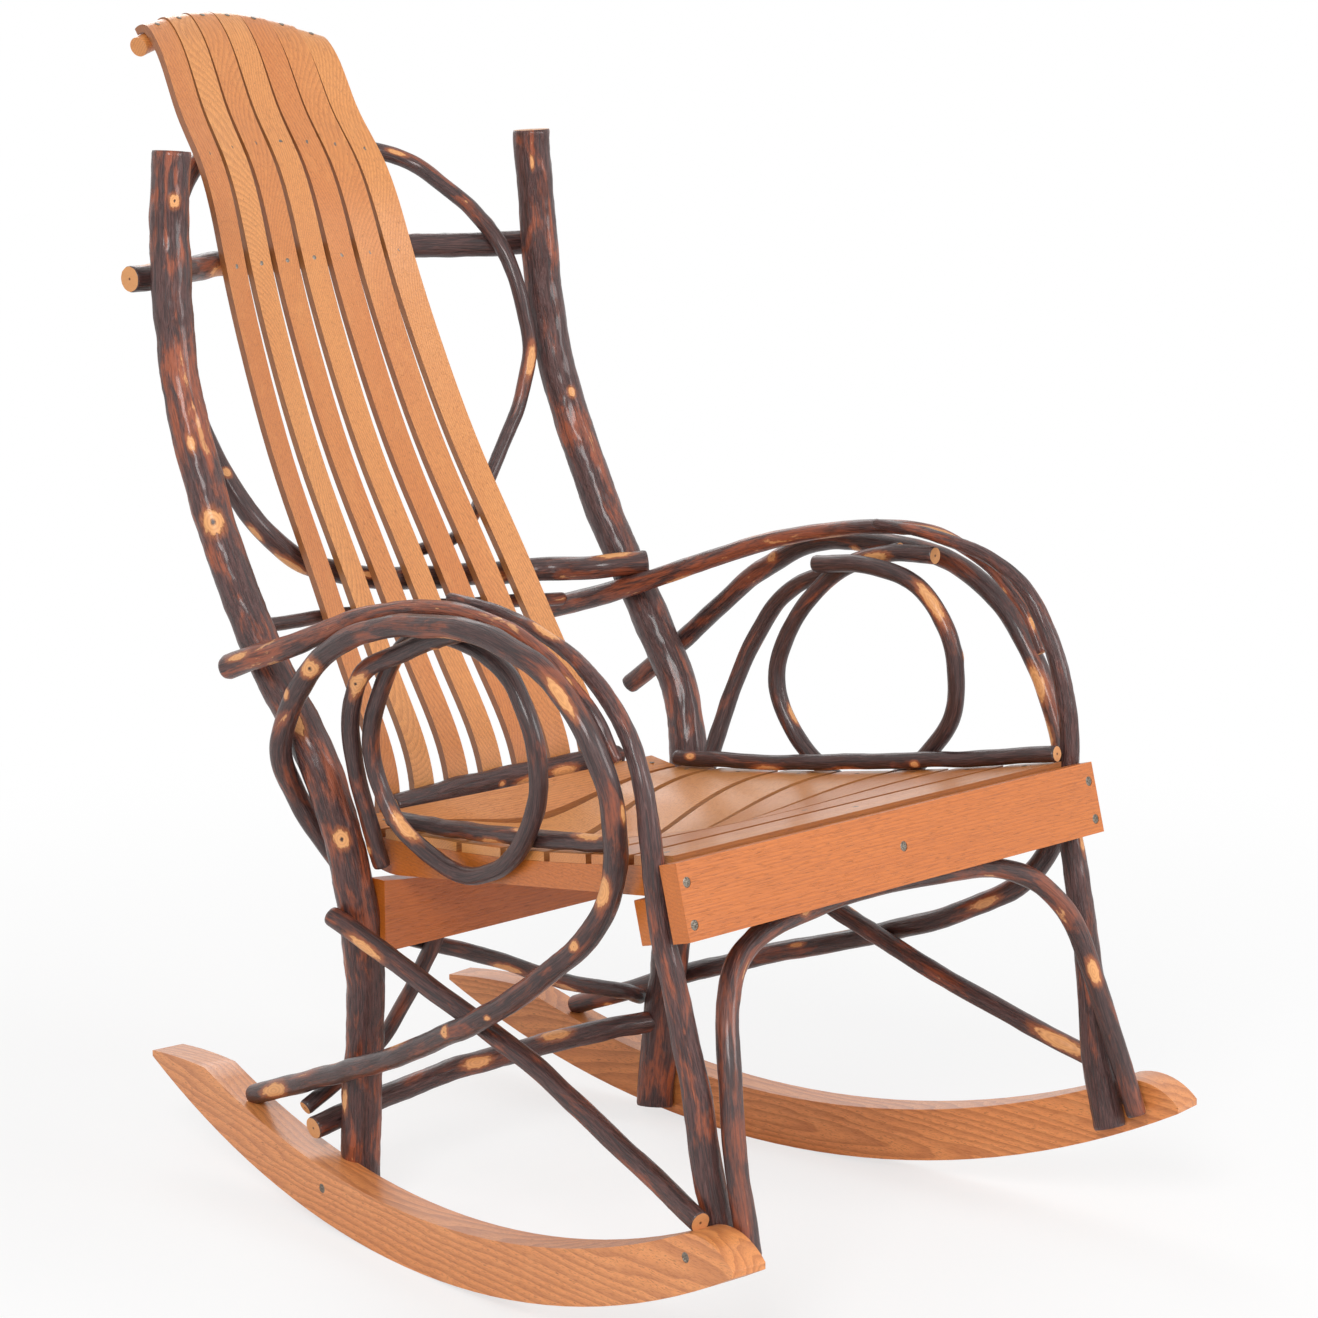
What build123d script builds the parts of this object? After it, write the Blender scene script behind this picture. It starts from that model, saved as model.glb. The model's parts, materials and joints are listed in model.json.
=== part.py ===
from build123d import *
import os
from math import atan, cos, pi, radians, sin, sqrt, tan

# A rocking chair of bent round sticks with flat slats, on two sawn runners.
# Millimetres. +Z is up and +Y is to the back. While it is built, y = 0 is the front face of the
# front board at its top edge, x = 0 is the middle and z = 0 is the floor. "right" and "left" are
# the sitter's: right is at -X.

# ---------------------------------------------------------------- driving dimensions
seat_height = 448.0             # top edge of the front board above the floor
seat_depth = 480.0              # from the front board's face to the ends of the side rails
seat_pitch = 7.6                # degrees, the seat falls to the back
seat_dish = 8.0                 # the side rails' top edges are hollowed by this much
seat_sag = 46.0                 # how far the slats are pulled down in the middle
arm_rise = 186.0                # from the front board's top edge up to the axis of the arm
back_rise = 681.0               # from the front board's top edge up to the crest rail's middle

runner_radius = 985.0           # the curve that rolls on the floor
runner_touch = 376.0            # y of the place that touches the floor
runner_depth = 53.0
runner_thickness = 36.0
runner_front_reach = 479.0      # from the place that touches the floor to the front tip
runner_back_reach = 429.0       # and to the back tip
runner_front_half = 322.0       # half the width over the runners at the front tip
runner_back_half = 220.0        # and at the back tip
runner_nose = 62.0              # length of the rounded front end
runner_tail = 100.0             # length of the pointed back end
runner_tip = 6.0                # what is left of the depth at either tip

board_thickness = 20.0
board_height = 67.0
board_half = 282.0
board_lean = 14.5               # degrees, the front board's foot is set forward

rail_thickness = 20.0
rail_front_height = 28.0
rail_back_height = 36.0
rail_front_half = 261.0         # half the width over the side rails behind the front board
rail_back_half = 197.0          # and at their back ends
rear_board_y = 445.0
rear_board_height = 69.0
rear_board_half = 215.0
rear_board_hollow = 12.0
under_rail_set_back = 60.0      # from the front board's face to the under rail's face
under_rail_height = 40.0
under_rail_half = 252.0
centre_rail_front_depth = 23.0
centre_rail_back_depth = 21.0

seat_slat_widths = [54.0, 52.0, 53.0, 58.0, 61.0, 69.0, 40.0, 30.0]
seat_slat_thickness = 8.5
seat_slat_overhang = 17.5        # the last slat's back edge, past the seat's depth
seat_slat_ease = 2.0            # a slat starts to bend this far inside the side rails
seat_slat_rest = 1.2            # gap over the centre rail, which the nails draw up
seat_slat_bed = 0.15            # gap over the side rails
rear_slat_lift = 10.0           # the last slat's back edge is turned up

back_slat_width = 31.2
back_slat_taper = 0.17          # degrees, each side face leans in from the crest to the foot
back_slat_thickness = 8.0
back_slat_count = 7
back_slat_pitch = 32.4          # at the crest, where the slats lie side by side
back_slat_fan = 1.1             # degrees from one slat to the next, so that they open downward
back_slat_hollow = 10.0         # the middle slat stands this much further back
slat_rest = 2.0                 # gap to the sticks behind the slats, which the nails close
crest_radius = 10.0
crest_half = 119.0
crest_arch = 20.0
crest_y = 916.0
crest_skew = 2.2                # the crest rail's left end is this much lower for each slat

back_post_radius = 19.0
front_post_radius = 15.0
front_post_tip_radius = 4.5
arm_bow_radius = 12.0
arm_bow_tip_radius = 5.0
arm_loop_radius = 10.5
arm_ring_radius = 8.5
spindle_radius = 8.5
side_brace_radius = 9.5
front_arch_radius = 10.0
front_arch_gap = 4.4            # from the arch's feet to the runners' inner faces
rear_stretcher_radius = 11.0
rear_brace_radius = 8.0
upper_stick_radius = 12.5
lower_stick_radius = 7.0
hoop_radius = 12.5
hoop_tip_radius = 6.5
side_stick_radius = 8.0
seat_back_stick_radius = 11.0

nail_radius = 1.1
nail_head_radius = 2.4
nail_head_height = 1.0          # and of the screws
nail_length = 16.0
nail_proud = 0.4                # the screws' heads are flush
seat_nail_length = 24.0
screw_radius = 2.2
screw_head_radius = 4.6
screw_length = 38.0

touch = 0.3                     # gap between round sticks that lie against each other

# ---------------------------------------------------------------- places worked out from them
right, left = -1, 1
back = seat_depth
mid = seat_depth / 2
deep = seat_depth / 480          # stretches the places of the arms' sticks along the seat
seat = seat_height
arm = seat_height + arm_rise
crest = seat_height + back_rise
wide = board_half
narrow = rail_back_half
runner_splay = atan((runner_front_half - runner_back_half) / (runner_front_reach + runner_back_reach))
os.makedirs("parts", exist_ok=True)


# ---------------------------------------------------------------- helpers
def bent_path(points):
    """Straight runs joined by tangent arcs, each arc as large as its two runs allow."""
    points = [Vector(*point) for point in points]
    radii = []
    for before, corner, after in zip(points, points[1:], points[2:]):
        turn = radians((corner - before).get_angle(after - corner))
        shorter = min((corner - before).length, (after - corner).length)
        radii.append(0.45 * shorter / tan(turn / 2))
    return FilletPolyline(*points, radius=radii)


def stick(points, radius, tip_radius=None):
    """A bent round stick along the points, thinning evenly to the tip radius."""
    path = bent_path(points)
    start = Plane(path @ 0, z_dir=path % 0) * Circle(radius)
    if tip_radius is None:
        return sweep(start, path=path)
    tip = Plane(path @ 1, z_dir=path % 1) * Circle(tip_radius)
    return sweep([start, tip], path=path, multisection=True)


def on_side(side, points):
    """Points given as half widths, put on one side of the chair."""
    return [(side * half, y, z) for half, y, z in points]


def between(start, end, share):
    return start + (end - start) * share


def in_list(pairs, value):
    """Straight-line reading of (value, result) pairs that rise in value."""
    for (low, first), (high, second) in zip(pairs, pairs[1:]):
        if value <= high:
            break
    return between(first, second, (value - low) / (high - low))


def band(front, behind, plane, width):
    """A bent flat strip: the outline between two curves, pushed out to both sides of the plane."""
    edges = [Spline(*front), Line(front[-1], behind[-1]), Spline(*behind), Line(front[0], behind[0])]
    return extrude(plane * make_face(edges), amount=width / 2, both=True)


# ---------------------------------------------------------------- runners
def runner_outer(y):
    """Half the width over the outer faces of the runners."""
    share = (y - runner_touch + runner_front_reach) / (runner_front_reach + runner_back_reach)
    return between(runner_front_half, runner_back_half, share)


def runner_inner(y):
    return runner_outer(y) - runner_thickness / cos(runner_splay)


def runner_bottom(y):
    return runner_radius - sqrt(runner_radius ** 2 - (y - runner_touch) ** 2)


def runner_top(y):
    return runner_bottom(y) + runner_depth


def runner(side):
    """A sawn board: one arc below, the same arc above, a rounded nose and a long pointed tail."""
    stretch = 1 / cos(runner_splay)
    front, end = runner_touch - runner_front_reach, runner_touch + runner_back_reach
    nose, tail = front + runner_nose, end - runner_tail

    def spot(y, z):
        return ((y - runner_touch) * stretch, z)

    nose_middle = between(front, nose, 0.42)
    tail_middle = between(tail, end, 0.5)
    edges = [
        ThreePointArc(spot(front, runner_bottom(front)), (0, 0), spot(end, runner_bottom(end))),
        Line(spot(end, runner_bottom(end)), spot(end, runner_bottom(end) + runner_tip)),
        ThreePointArc(
            spot(end, runner_bottom(end) + runner_tip),
            spot(tail_middle, runner_bottom(tail_middle) + 0.62 * runner_depth),
            spot(tail, runner_top(tail)),
        ),
        ThreePointArc(
            spot(tail, runner_top(tail)),
            spot(runner_touch, runner_top(runner_touch)),
            spot(nose, runner_top(nose)),
        ),
        ThreePointArc(
            spot(nose, runner_top(nose)),
            spot(nose_middle, runner_bottom(nose_middle) + 0.68 * runner_depth),
            spot(front, runner_bottom(front) + runner_tip),
        ),
        Line(spot(front, runner_bottom(front) + runner_tip), spot(front, runner_bottom(front))),
    ]
    outer_face = Plane(
        origin=(side * runner_outer(runner_touch), runner_touch, 0),
        x_dir=(-side * sin(runner_splay), cos(runner_splay), 0),
        z_dir=(cos(runner_splay), side * sin(runner_splay), 0),
    )
    face = outer_face * make_face(edges)
    return extrude(face, amount=-side * runner_thickness)


# ---------------------------------------------------------------- seat frame
seat_fall = tan(radians(seat_pitch))
lean_back, lean_down = cos(radians(board_lean)), sin(radians(board_lean))


seat_slat_gap = (seat_depth + seat_slat_overhang - board_thickness - 1 - sum(seat_slat_widths)) / (
    len(seat_slat_widths) - 1)
seat_slat_fronts = [                # y of each slat's front edge
    board_thickness + 1 + sum(seat_slat_widths[:count]) + count * seat_slat_gap
    for count in range(len(seat_slat_widths))
]


def seat_line(y):
    """Height of the slats' top faces at their ends."""
    share = min(max((y - board_thickness) / (seat_depth - board_thickness), 0), 1)
    return seat - (y - board_thickness) * seat_fall - seat_dish * sin(pi * share)


def seat_dip(y):
    """How far the slats' top faces hang down on the middle line."""
    flat_to = board_thickness + seat_slat_widths[0] + 2
    share = (y - flat_to) / (back + 20 - flat_to)
    return seat_sag * sin(pi * min(max(share, 0), 1) ** 1.9)


def rail_outer(y):
    """Half the width over the side rails."""
    return between(rail_front_half, rail_back_half, (y - 35) / (back + 5 - 35))


def rail_top(y):
    return seat_line(y) - seat_slat_thickness - seat_slat_bed


def rail_foot(y):
    """Height of the side rails' straight under edges."""
    front_z = rail_top(board_thickness) - rail_front_height
    back_z = rail_top(seat_depth) - rail_back_height
    return between(front_z, back_z, (y - board_thickness) / (seat_depth - board_thickness))


def leaning_board(face_y, face_z, height, half):
    """A cross board that leans like the front board, from its top front edge."""
    outline = Polyline(
        (face_y, face_z),
        (face_y - height * lean_down, face_z - height * lean_back),
        (face_y - height * lean_down + board_thickness * lean_back,
         face_z - height * lean_back - board_thickness * lean_down),
        (face_y + board_thickness * lean_back, face_z - board_thickness * lean_down),
        close=True,
    )
    return extrude(Plane.YZ * make_face(outline), amount=half, both=True)


def side_rail(side):
    """Flat board on edge under the slats' ends, splayed like the seat, its top on the seat's fall."""
    front_y, back_y = board_thickness, back + 5
    top = [between(front_y, back_y, share / 8) for share in range(9)]
    lower_back = rail_foot(back_y) + 0.3 * rail_back_height
    edges = [
        Spline([(y, rail_top(y)) for y in top]),
        Line((back_y, rail_top(back_y)), (back_y, lower_back)),
        ThreePointArc(
            (back_y, lower_back),
            (rear_board_y + 12, rail_foot(rear_board_y + 12) + 0.06 * rail_back_height),
            (rear_board_y - 12, rail_foot(rear_board_y - 12)),
        ),
        Line((rear_board_y - 12, rail_foot(rear_board_y - 12)), (front_y, rail_foot(front_y))),
        Line((front_y, rail_foot(front_y)), (front_y, rail_top(front_y))),
    ]
    outline = extrude(Plane.YZ * make_face(edges), amount=2 * wide, both=True)
    corners = [
        (side * rail_outer(front_y - 40), front_y - 40),
        (side * rail_outer(back_y + 40), back_y + 40),
        (side * (rail_outer(back_y + 40) - rail_thickness), back_y + 40),
        (side * (rail_outer(front_y - 40) - rail_thickness), front_y - 40),
    ]
    strip = extrude(make_face(Polyline(*corners, close=True)), amount=2 * seat)
    return outline & strip


def rear_board():
    """Upright cross board under the side rails, hollowed along the top for the bent slats."""
    top = rail_foot(rear_board_y + board_thickness) - touch
    foot = top - rear_board_height
    edges = [
        ThreePointArc((-rear_board_half, top), (0, top - rear_board_hollow), (rear_board_half, top)),
        Polyline((rear_board_half, top), (rear_board_half, foot), (-rear_board_half, foot),
                 (-rear_board_half, top)),
    ]
    front_face = Plane(origin=(0, rear_board_y, 0), x_dir=(1, 0, 0), z_dir=(0, -1, 0))
    return extrude(front_face * make_face(edges), amount=-board_thickness)


def centre_rail():
    """Low rail on the middle line that the slats are pulled down to."""
    places = [board_thickness + 4 + share * (rear_board_y - board_thickness - 4) / 8 for share in range(9)]

    def top(y):
        return seat_line(y) - seat_dip(y) - seat_slat_thickness - seat_slat_rest

    def depth(y):
        share = (y - board_thickness) / (rear_board_y - board_thickness)
        return between(centre_rail_front_depth, centre_rail_back_depth, share)

    upper = [(y, top(y)) for y in places]
    lower = [(y, top(y) - depth(y)) for y in places]
    return band(upper, lower, Plane.YZ, rail_thickness)


def flat_slat(front_y, width):
    """The front slat isn't bent, only cut to the splay of the seat."""
    corners = []
    for side, y in ((right, front_y), (left, front_y), (left, front_y + width), (right, front_y + width)):
        corners.append((side * rail_outer(y), y, seat_line(y)))
    top = make_face(Polyline(*corners, close=True))
    return extrude(top, amount=seat_slat_thickness, dir=(0, 0, -1))


def seat_slat(front_y, width, lift=0.0):
    """One slat, flat on the side rails and bent down between them; each edge has its own dip."""
    sections = []
    for y, raised in ((front_y, 0.0), (front_y + width, lift)):
        half, top, dip = rail_outer(y), seat_line(y) + raised, seat_dip(y)
        inner, below = half - rail_thickness - seat_slat_ease, top - seat_slat_thickness
        level = [(1, 0), (1, 0)]
        edges = [
            Line((-half, top), (-inner, top)),
            Spline((-inner, top), (0, top - dip), (inner, top), tangents=level),
            Polyline((inner, top), (half, top), (half, below), (inner, below)),
            Spline((-inner, below), (0, below - dip), (inner, below), tangents=level),
            Polyline((-inner, below), (-half, below), (-half, top)),
        ]
        section_plane = Plane(origin=(0, y, 0), x_dir=(1, 0, 0), z_dir=(0, -1, 0))
        sections.append(section_plane * make_face(edges))
    return loft(sections, ruled=True)


def seat_slats():
    places = list(zip(seat_slat_fronts, seat_slat_widths))
    bent = [seat_slat(front_y, width) for front_y, width in places[1:-1]]
    return [flat_slat(*places[0])] + bent + [seat_slat(*places[-1], lift=rear_slat_lift)]


# ---------------------------------------------------------------- posts
post_foot_y = back + 22
front_foot_y = -45.0
post_foot_gap = 8.0             # from the under edge of a runner up to the foot of a leg
post_top = crest - 114
right_knee, left_knee = -6.0, 8.0   # no two bent posts have their knee in the same place
right_bow, left_bow = 10.0, 3.0     # or are bowed as far
left_post_rise = 12.0


def back_post(side):
    """From inside the runner up past the seat, then bent back and up beside the crest."""
    knee, bow, top, top_spread = right_knee, right_bow, post_top, 0
    if side == left:
        knee, bow, top, top_spread = left_knee, left_bow, post_top + left_post_rise, 4
    return stick(on_side(side, [
        (runner_inner(post_foot_y) - back_post_radius + 5, post_foot_y,
         runner_bottom(post_foot_y) + post_foot_gap),
        (narrow + 10, back + 13, 120),
        (narrow + 12, back, 220),
        (narrow + 29, back - 7 + knee, 300),
        (narrow + 43, back - 2 + knee, seat - 63),
        (narrow + 55, back + 26 + knee - bow, seat + 7),
        (narrow + 58, back + 80 - bow, seat + 80),
        (narrow + 54, back + 145, seat + 182),
        (narrow + 48, back + 204 + bow, seat + 327),
        (narrow + 44, back + 226 + bow, seat + 452),
        (narrow + 34 + top_spread, back + 229 + bow, top),
    ]), back_post_radius)


def front_post(side):
    """From inside the runner up behind the front board, then over into the arm, where it thins out."""
    foot_half = runner_inner(front_foot_y) - front_post_radius - touch
    lower = [
        (foot_half, front_foot_y, runner_bottom(front_foot_y) + post_foot_gap),
        (foot_half + 1, -28, 159),
        (wide - 12, -13, 244),
        (wide - 8, 6, seat - 120),
        (wide - 5, 24, seat - 53),
    ]
    if side == right:
        upper = [
            (wide - 3, 33, seat + 22),
            (wide - 7, 50, arm - 108),
            (wide - 10, 82, arm - 62),
            (wide - 11, 128, arm - 32),
            (wide - 12, 180, arm - 12),
            (wide - 13, mid - 10, arm),
            (wide - 13, mid + 50, arm + 3),
        ]
    else:
        upper = [
            (wide - 3, 24, seat + 30),
            (wide - 7, 38, seat + 102),
            (wide - 10, 69, arm - 29),
            (wide - 11, 121, arm),
            (wide - 12, 186, arm + 14),
            (wide - 13, mid + 22, arm + 17),
        ]
    return stick(on_side(side, lower + upper), front_post_radius, front_post_tip_radius)


# ---------------------------------------------------------------- arms
def arm_bow(side):
    """The arm's top stick: outside the right back post, but inside the left one."""
    if side == right:
        return stick(on_side(side, [
            (wide + 6, back + 100, arm - 94),
            (wide + 6, back - 7, arm - 57),
            (wide + 6, back - 118, arm - 15),
            (wide + 6, mid + 17, arm),
            (wide + 7, mid - 84, arm - 20),
            (wide + 8, 88, arm - 68),
            (wide + 6, 62, seat + 77),
        ]), arm_bow_radius, arm_bow_tip_radius)
    return stick(on_side(side, [
        (narrow + 14, back + 190, arm - 108),
        (narrow + 28, back + 62, arm - 70),
        (wide - 18, back - 44, arm - 24),
        (wide + 2, mid + 66, arm + 10),
        (wide + 6, mid - 45, arm + 14),
        (wide + 7, 134, arm - 10),
        (wide + 8, 86, arm - 56),
        (wide + 6, 66, seat + 95),
    ]), arm_bow_radius, arm_bow_tip_radius)


def arm_loop(side):
    """From the runner's back end up and forward, over outside the arm, and down at the back post."""
    foot_y = back + 160
    foot = (runner_outer(foot_y) - runner_thickness / 2, foot_y, runner_top(foot_y) + 5)
    if side == right:
        return stick(on_side(side, [
            foot,
            (narrow + 38, back + 33, 143),
            (narrow + 55, back - 90, 192),
            (wide - 10, mid + 32, 249),
            (wide - 9, mid - 64, 307),
            (wide - 9, 103, seat - 77),
            (wide - 4, 71, seat - 20),
            (wide + 18, 54, seat + 46),
            (wide + 26, 78, seat + 108),
            (wide + 27, 130, arm - 33),
            (wide + 27, mid - 20, arm - 10),
            (wide + 27, mid + 97, arm - 22),
            (wide + 21, back - 55, arm - 58),
            (wide + 13, back + 4, seat + 66),
            (narrow + 92, back + 28, seat + 18),
            (narrow + 62, back + 36, seat - 32),
            (narrow + 36, back + 30, seat - 72),
            (narrow + 20, back + 19, seat - 101),
        ]), arm_loop_radius)
    return stick(on_side(side, [
        foot,
        (wide - 44, back + 28, 148),
        (wide - 30, back - 113, 200),
        (wide - 12, mid + 30, 229),
        (wide - 13, 150, 274),
        (wide - 4, 66, 322),
        (wide + 14, 42, seat - 72),
        (wide + 25, 52, seat),
        (wide + 28, 78, seat + 62),
        (wide + 28, 122, arm - 58),
        (wide + 28, 182, arm - 22),
        (wide + 28, mid + 20, arm - 7),
        (wide + 26, back - 104, arm - 13),
        (wide + 20, back - 14, arm - 65),
        (wide + 8, back + 66, seat + 46),
        (wide - 8, back + 128, seat - 5),
    ]), arm_loop_radius)


def arm_spindle(side, forward, lift):
    """From the side rail up in front of the back post and forward to the underside of the arm."""
    return stick(on_side(side, [
        (narrow + 18, mid + 208 * deep, seat - 91),
        (narrow + 36, mid + 214 * deep - forward, seat - 26),
        (wide - 20, mid + 199 * deep - forward, seat + 57),
        (wide - 5, mid + 163 * deep - forward, arm - 76 + lift),
        (wide + 1, mid + 70 * deep - forward, arm - 38 + lift),
        (wide + 5, mid + 16 * deep - forward, arm - 22 + lift),
    ]), spindle_radius)


def arm_ring(side, forward, lift):
    """One thin stick wound once round under the arm; its lowest part lies on the side rail."""
    def beside_rail(y):
        return rail_outer(y - forward) + arm_ring_radius + 2 * touch

    turn = [
        (wide - 36, mid + 133 * deep, arm - 44),
        (wide - 33, mid + 60 * deep, arm - 36),
        (wide - 29, mid - 6 * deep, arm - 54),
        (wide - 29, mid - 42 * deep, arm - 108),
        (max(wide - 32, beside_rail(mid - 44 * deep)), mid - 44 * deep, seat + 10),
        (beside_rail(mid + 4 * deep) + 1, mid + 4 * deep, seat - 52),
        (beside_rail(mid + 74 * deep) + 1, mid + 74 * deep, seat - 78),
        (beside_rail(mid + 74 * deep) + 6, mid + 148 * deep, seat - 52),
        (wide - 37, mid + 191 * deep, seat + 12),
        (wide - 28, mid + 168 * deep, seat + 82),
        (wide - 18, mid + 120 * deep, arm - 48),
        (wide - 15, mid + 60 * deep, arm - 26),
        (wide - 15, mid - 4 * deep, arm - 24),
    ]
    return stick(on_side(side, [(half, y - forward, z + lift) for half, y, z in turn]), arm_ring_radius)


# ---------------------------------------------------------------- braces under the seat
def side_brace(side):
    """From outside the back post down and forward onto the front end of the runner."""
    front_y, lift = -38.0, 10 if side == left else 0
    return stick(on_side(side, [
        (narrow + 60, back - 7, seat - 135),
        (wide - 35, back - 150, 262 + lift),
        (wide - 33, mid - 50, 217 + lift),
        (wide - 17, 72, 175 + lift),
        (runner_outer(front_y) - 0.63 * runner_thickness, front_y, runner_top(front_y) + 4),
    ]), side_brace_radius)


def front_arch():
    """Feet on the inner faces of the runners, bent under the front board's back edge."""
    foot_y = front_foot_y - 28
    foot_half = runner_inner(foot_y) - front_arch_radius - front_arch_gap
    half_route = [
        (foot_half, foot_y, 120),
        (foot_half - 6, front_foot_y - 6, 185),
        (wide - 32, -34, 250),
        (wide - 46, -14, seat - 136),
        (wide - 78, 5, seat - 98),
        (wide - 134, 17, seat - 80),
    ]
    crown = (0, 23, seat - 71)
    return stick(on_side(right, half_route) + [crown] + on_side(left, half_route[::-1]),
                 front_arch_radius)


def rear_stretcher():
    return stick([
        (-narrow - 40, back + 50, 88),
        (-narrow + 105, back + 45, 109),
        (narrow - 117, back + 36, 112),
        (narrow - 2, back + 17, 111),
    ], rear_stretcher_radius)


def rear_brace_lower():
    """From the right end of the stretcher up behind the rear board."""
    behind_board = rear_board_y + board_thickness + rear_brace_radius + touch
    return stick([
        (-narrow - 35, back + 68, 103),
        (-narrow + 47, back + 56, 146),
        (-narrow + 65, back + 28, 205),
        (-narrow + 73, behind_board, 268),
        (-narrow + 76, behind_board + 1, 318),
    ], rear_brace_radius)


def rear_brace_upper():
    """From the top of the other brace down behind the left back post."""
    return stick([
        (-narrow + 54, back + 19, 266),
        (-narrow + 136, back + 14, 236),
        (narrow - 137, back + 16, 182),
        (narrow - 47, back + 22, 152),
        (narrow + 8, back + 43, 130),
    ], rear_brace_radius)


# ---------------------------------------------------------------- back
slat_curve = [                  # (height, y of the front face) of a back slat, from its foot up
    (seat - 68, back + 43),
    (seat - 28, back + 47),
    (seat + 52, back + 90),
    (seat + 152, back + 149),
    (seat + 252, back + 209),
    (seat + 352, back + 258),
    (seat + 452, back + 298),
    (crest - 129, back + 339),
    (crest - 79, back + 374),
]
upper_stick_height = seat + 453
crest_tilt = radians(48)        # slope of the slats where they reach the crest rail


def slat_hollow(number, height):
    """How far back a slat stands from the outer ones; nothing at its foot and at the crest."""
    share = (height - slat_curve[0][0]) / (crest - slat_curve[0][0])
    outer = (back_slat_count - 1) / 2
    return back_slat_hollow * (1 - (number / outer) ** 2) * sin(pi * min(max(share, 0), 1)) ** 0.5


def slat_front(number, height):
    return in_list(slat_curve, height) + slat_hollow(number, height)


def behind_slats(number, height, radius):
    """y of a round stick that lies against the back faces of the slats."""
    slope = (slat_front(number, height + 5) - slat_front(number, height - 5)) / 10
    reach = back_slat_thickness + radius + slat_rest
    return slat_front(number, height) + reach * sqrt(1 + slope ** 2)


def crest_axis(number):
    """Middle of the crest rail at a slat: it is arched along the slope of the slats."""
    outer = (back_slat_count - 1) / 2
    rise = crest_arch * (1 - (number / outer) ** 2) - crest_skew * number
    return (crest_y + rise * cos(crest_tilt), crest + (rise - crest_arch) * sin(crest_tilt))


def slat_bend(number):
    """Radius of a slat's inner face over the crest rail, which slopes under the outer slats."""
    outer = (back_slat_count - 1) / 2
    rail_slope = (2 * crest_arch * number / outer ** 2 + crest_skew) / back_slat_pitch
    return crest_radius * sqrt(1 + rail_slope ** 2) + 3 * touch


def slat_edge(number):
    """Side face of a back slat: it follows the back's curve and rolls over the crest rail."""
    rail_y, rail_z = crest_axis(number)
    inner = slat_bend(number)
    outer = inner + back_slat_thickness
    spots = [(slat_front(number, height), height) for height, y in slat_curve]
    front, behind = [], []
    for before, spot, after in zip([spots[0]] + spots, spots, spots[1:] + [spots[-1]]):
        run = Vector(after[0] - before[0], after[1] - before[1]).normalized()
        front.append(spot)
        behind.append((spot[0] + run.Y * back_slat_thickness, spot[1] - run.X * back_slat_thickness))
    for angle in (138, 110, 80, 50):
        turn = radians(angle)
        front.append((rail_y + outer * cos(turn), rail_z + outer * sin(turn)))
        behind.append((rail_y + inner * cos(turn), rail_z + inner * sin(turn)))
    edges = [Spline(*front), Line(front[-1], behind[-1]), Spline(*behind), Line(front[0], behind[0])]
    return Plane.YZ * make_face(edges)


def back_slat(number):
    """One strip of the back; its two edges stand as the hollow of the back asks."""
    half = back_slat_width / 2
    share = half / back_slat_pitch
    hinge = Axis((0, 0, crest_axis(number)[1]), (0, 1, 0))
    sides = [Pos(step * half, 0, 0) * slat_edge(number + step * share).rotate(hinge, step * back_slat_taper)
             for step in (-1, 1)]
    slat = loft(sides, ruled=True)
    return Pos(number * back_slat_pitch, 0, 0) * slat.rotate(hinge, -number * back_slat_fan)


def crest_rail():
    end = crest_half / back_slat_pitch
    bow = ThreePointArc((-crest_half, *crest_axis(-end)), (0, *crest_axis(0)), (crest_half, *crest_axis(end)))
    return sweep(Plane(bow @ 0, z_dir=bow % 0) * Circle(crest_radius), path=bow)


def upper_back_stick():
    """Behind both posts, bowed back behind the slats."""
    height = upper_stick_height
    behind_post = back + 226 + back_post_radius + upper_stick_radius + touch
    right_post_y, left_post_y = behind_post + right_bow, behind_post + left_bow
    right_y = behind_slats(3, height - 3, upper_stick_radius) + 3
    middle_y = behind_slats(0, height, upper_stick_radius) + 1
    left_y = behind_slats(3, height + 5, upper_stick_radius) + 3
    return stick([
        (-narrow - 68, right_post_y - 2, height - 7),
        (-narrow - 20, right_post_y + 4, height - 7),
        (-130, right_y, height - 3),
        (0, middle_y, height),
        (130, left_y, height + 4),
        (narrow + 20, left_post_y + 4, height + 7),
        (narrow + 60, left_post_y - 2, height + 7),
    ], upper_stick_radius)


def lower_back_stick():
    height = seat + 108
    return stick([
        (-narrow - 15, behind_slats(3, height, lower_stick_radius), height + 9),
        (-60, behind_slats(1, height, lower_stick_radius) + 2, height + 5),
        (60, behind_slats(1, height, lower_stick_radius) + 2, height - 3),
        (narrow - 6, behind_slats(3, height, lower_stick_radius), height - 12),
    ], lower_stick_radius)


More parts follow.
